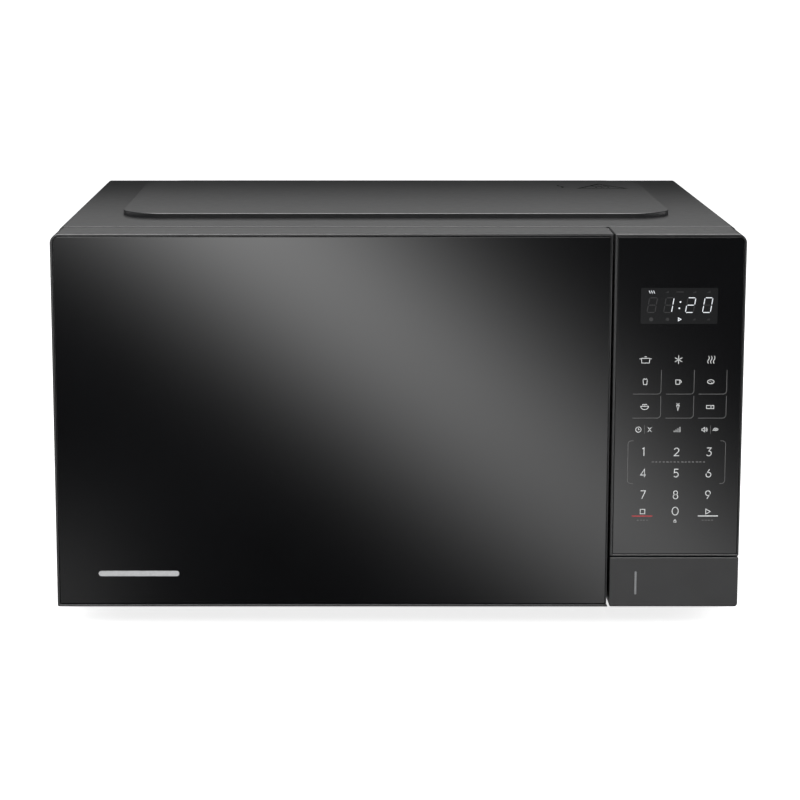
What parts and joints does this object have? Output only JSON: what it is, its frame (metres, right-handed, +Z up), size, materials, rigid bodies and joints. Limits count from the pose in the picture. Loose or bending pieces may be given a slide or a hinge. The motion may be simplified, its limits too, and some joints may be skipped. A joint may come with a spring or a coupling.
{
  "type": "microwave oven",
  "caption": "countertop microwave oven: side-hinged black glass door, touch control panel, push-button door release, glass turntable in a lit cavity, and a full cooking-power compartment",
  "frame": {"origin": "on the worktop, under the middle of the oven's bounding box, level with the soles of the feet", "axes": "+X to the right as the user faces the oven, +Y from the door to the back, +Z up; the door and control panel face -Y"},
  "size_m": [0.44, 0.357, 0.259],
  "materials": {
    "cabinet_steel": "satin dark grey baked enamel",
    "zinc_steel": "zinc-plated sheet steel",
    "front_enamel": "satin charcoal enamel",
    "cavity_enamel": "light grey enamel",
    "foot_rubber": "matt black moulded rubber",
    "screw_steel": "black zinc-plated steel",
    "black_nylon": "matt black nylon",
    "front_plastic": "fine satin black moulding",
    "black_glass": "back-painted black glass, polished",
    "bright_foil": "bright blank foil strip",
    "choke_steel": "grey painted steel",
    "screen_steel": "matt black perforated steel",
    "clear_film": "clear",
    "ivory_plastic": "natural acetal",
    "switch_case": "dark red phenolic",
    "spring_steel": "bright spring wire",
    "machined_steel": "turned steel",
    "plated_can": "bright plated steel can",
    "membrane_film": "amber film",
    "display_black": "dark display glass",
    "green_board": "green board with black parts",
    "tray_glass": "clear pressed glass",
    "mica": "pale brown mica sheet",
    "copper_and_fins": "aluminium fins on copper",
    "core_steel": "varnished laminations",
    "copper_winding": "varnished copper wire",
    "capacitor_can": "drawn can",
    "black_epoxy": "black epoxy",
    "grey_plastic": "pale grey moulding",
    "lamination_steel": "stacked steel laminations",
    "lamp_ceramic": "white ceramic holder",
    "wire_sheath": "red and black sheathed wire"
  },
  "bodies": {
    "cabinet": {"outer_cabinet": "cabinet_steel", "base_plate": "zinc_steel", "rear_panel": "zinc_steel", "front_plate": "front_enamel", "oven_cavity": "cavity_enamel", "rubber_feet": "foot_rubber", "motor_access_cover": "zinc_steel", "case_screws": "screw_steel", "cord_inlet_gland": "black_nylon", "upper_hinge": "zinc_steel", "lower_hinge": "zinc_steel", "interlock_bracket": "ivory_plastic", "interlock_switches": "switch_case", "panel_frame": "front_plastic", "panel_glass": "black_glass", "touch_membrane": "membrane_film", "display_module": "display_black", "control_board": "green_board", "button_spring": "spring_steel", "turntable_motor": "plated_can", "waveguide": "zinc_steel", "mica_cover": "mica", "magnetron_yoke": "zinc_steel", "magnetron_anode": "copper_and_fins", "magnetron_filter_box": "zinc_steel", "transformer_core": "core_steel", "transformer_windings": "copper_winding", "hv_capacitor": "capacitor_can", "hv_diode": "black_epoxy", "fan_shroud": "grey_plastic", "fan_motor": "lamination_steel", "air_duct": "grey_plastic", "oven_lamp": "lamp_ceramic", "line_filter": "green_board", "thermal_cutouts": "black_epoxy", "wiring_harness": "wire_sheath"},
    "door": {"door_frame": "front_plastic", "door_glass": "black_glass", "door_nameplate": "bright_foil", "door_choke_pan": "choke_steel", "door_mesh_screen": "screen_steel", "door_inner_cover": "front_plastic", "door_inner_window": "clear_film", "hinge_bushes": "ivory_plastic", "latch_spring": "spring_steel"},
    "latch": {"latch_hooks": "ivory_plastic"},
    "release_lever": {"release_lever": "ivory_plastic"},
    "open_button": {"open_button": "front_plastic"},
    "turntable": {"turntable_tray": "tray_glass", "drive_coupler": "ivory_plastic", "drive_shaft": "machined_steel"},
    "roller_ring": {"roller_ring": "ivory_plastic"},
    "roller_a": {"roller_a": "ivory_plastic"},
    "roller_b": {"roller_b": "ivory_plastic"},
    "roller_c": {"roller_c": "ivory_plastic"},
    "fan": {"fan_rotor": "machined_steel", "fan_blade": "grey_plastic"},
    "primary_plunger": {"primary_plunger": "ivory_plastic"},
    "monitor_plunger": {"monitor_plunger": "ivory_plastic"},
    "secondary_plunger": {"secondary_plunger": "ivory_plastic"}
  },
  "joints": [
    {"name": "door_swing", "type": "hinge", "parent": "cabinet", "child": "door", "pos_m": [-0.211, -0.1485, 0.134], "axis": [0, 0, -1], "range_deg": [0, 105]},
    {"name": "latch_lift", "type": "slide", "parent": "door", "child": "latch", "axis": [0, 0, 1], "range_m": [0, 0.0033], "stiffness_N_per_m": 80, "deforming": ["latch_spring"]},
    {"name": "button_push", "type": "slide", "parent": "cabinet", "child": "open_button", "axis": [0, 1, 0], "range_m": [0, 0.006], "stiffness_N_per_m": 600, "deforming": ["button_spring"]},
    {"name": "lever_rock", "type": "hinge", "parent": "cabinet", "child": "release_lever", "pos_m": [0.1287, -0.126, 0.044], "axis": [1, 0, 0], "range_deg": [0, 22]},
    {"name": "tray_spin", "type": "hinge", "parent": "cabinet", "child": "turntable", "pos_m": [-0.046, 0.0077, 0.03], "axis": [0, 0, 1], "continuous": true},
    {"name": "ring_spin", "type": "hinge", "parent": "cabinet", "child": "roller_ring", "pos_m": [-0.046, 0.0077, 0.038], "axis": [0, 0, 1], "continuous": true},
    {"name": "roller_a_roll", "type": "hinge", "parent": "roller_ring", "child": "roller_a", "pos_m": [-0.046, 0.1057, 0.038], "axis": [0, 1, 0], "continuous": true},
    {"name": "roller_b_roll", "type": "hinge", "parent": "roller_ring", "child": "roller_b", "pos_m": [-0.13087, -0.0413, 0.038], "axis": [-0.866, -0.5, 0], "continuous": true},
    {"name": "roller_c_roll", "type": "hinge", "parent": "roller_ring", "child": "roller_c", "pos_m": [0.03887, -0.0413, 0.038], "axis": [0.866, -0.5, 0], "continuous": true},
    {"name": "fan_spin", "type": "hinge", "parent": "cabinet", "child": "fan", "pos_m": [0.162, 0.134, 0.174], "axis": [0, -1, 0], "continuous": true},
    {"name": "primary_plunger_press", "type": "slide", "parent": "cabinet", "child": "primary_plunger", "axis": [0, 1, 0], "range_m": [0, 0.001], "stiffness_N_per_m": 400},
    {"name": "monitor_plunger_press", "type": "slide", "parent": "cabinet", "child": "monitor_plunger", "axis": [0, 1, 0], "range_m": [0, 0.001], "stiffness_N_per_m": 400},
    {"name": "secondary_plunger_press", "type": "slide", "parent": "cabinet", "child": "secondary_plunger", "axis": [0, 1, 0], "range_m": [0, 0.001], "stiffness_N_per_m": 400}
  ],
  "couplings": [
    {"joint": "latch_lift", "follows": "button_push", "ratio": 0.55},
    {"joint": "lever_rock", "follows": "button_push", "rad_per_m": 63.705},
    {"joint": "ring_spin", "follows": "tray_spin", "ratio": 0.5},
    {"joint": "roller_a_roll", "follows": "tray_spin", "ratio": -7},
    {"joint": "roller_b_roll", "follows": "tray_spin", "ratio": -7},
    {"joint": "roller_c_roll", "follows": "tray_spin", "ratio": -7}
  ]
}
